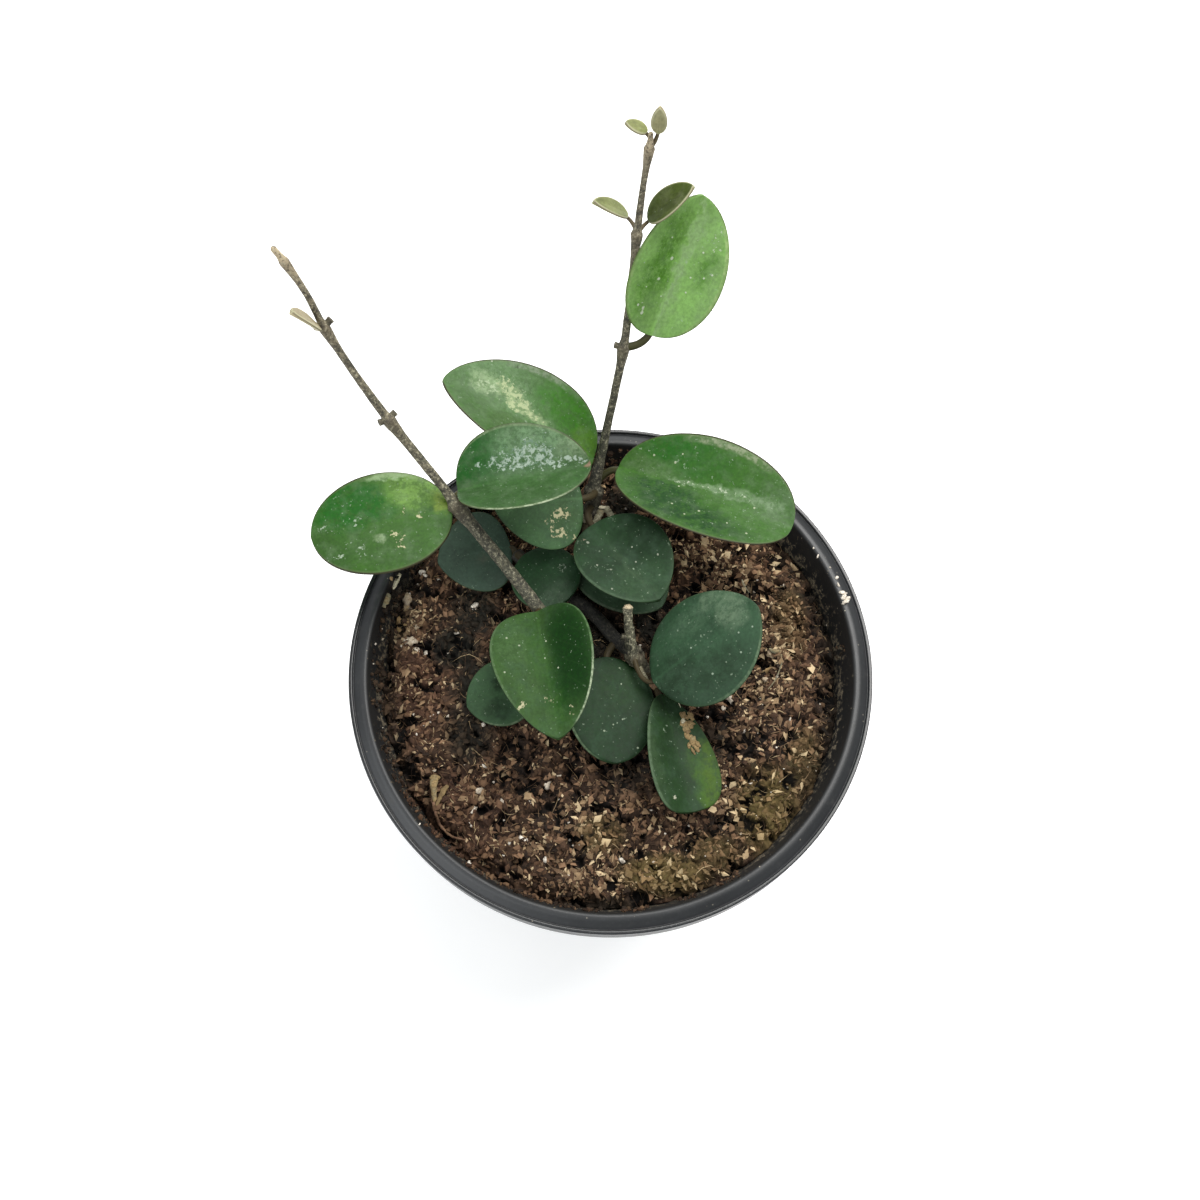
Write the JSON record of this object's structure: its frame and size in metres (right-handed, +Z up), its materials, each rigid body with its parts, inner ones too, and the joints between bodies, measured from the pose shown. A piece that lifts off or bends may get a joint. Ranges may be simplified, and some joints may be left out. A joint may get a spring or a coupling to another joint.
{
  "type": "potted hoya plant",
  "caption": "Young hoya with rounded fleshy leaves on woody stems, standing in soil in a round black nursery pot with a rolled rim and drain holes.",
  "frame": {"origin": "middle of the flat pad in the centre of the pot's underside, on the surface that it stands on", "axes": "+Z up; +X to the right and +Y to the back, as seen from the front"},
  "size_m": [0.1216, 0.1416, 0.1646],
  "materials": {
    "pot_plastic": "charcoal black moulded plastic with a satin sheen",
    "soil": "damp fibrous peat with perlite grains",
    "bark": "grey-brown bark, rougher at the foot",
    "leaf_green": "fleshy leaf with a soft wax sheen and silvery flecks",
    "leaf_dark": "older dark blue-green leaf, nearly matte, with pale flecks",
    "leaf_young": "young olive-green leaf with a paler margin",
    "dry_stalk": "dry red-brown stalk"
  },
  "bodies": {
    "root": {"pot": "pot_plastic", "soil": "soil", "stem_right": "bark", "stem_left": "bark", "stem_centre": "bark", "leaf_node1_left": "leaf_green", "leaf_node1_right": "leaf_green", "leaf_node2_right": "leaf_green", "leaf_node2_west": "leaf_green", "leaf_node2_east": "leaf_green", "leaf_foot_left": "leaf_dark", "leaf_foot_upper": "leaf_dark", "leaf_foot_lower": "leaf_dark", "leaf_front_folded": "leaf_dark", "leaf_front_low": "leaf_dark", "leaf_centre_right": "leaf_dark", "leaf_centre_front": "leaf_dark", "leaf_centre_curled": "leaf_dark", "leaf_branch_left": "leaf_dark", "leaf_branch_right": "leaf_dark", "young_leaf_node3_right": "leaf_young", "young_leaf_node3_left": "leaf_young", "young_leaf_tip_left": "leaf_young", "young_leaf_tip_right": "leaf_young", "young_leaf_left": "leaf_young", "dry_stalk": "dry_stalk"}
  },
  "joints": []
}
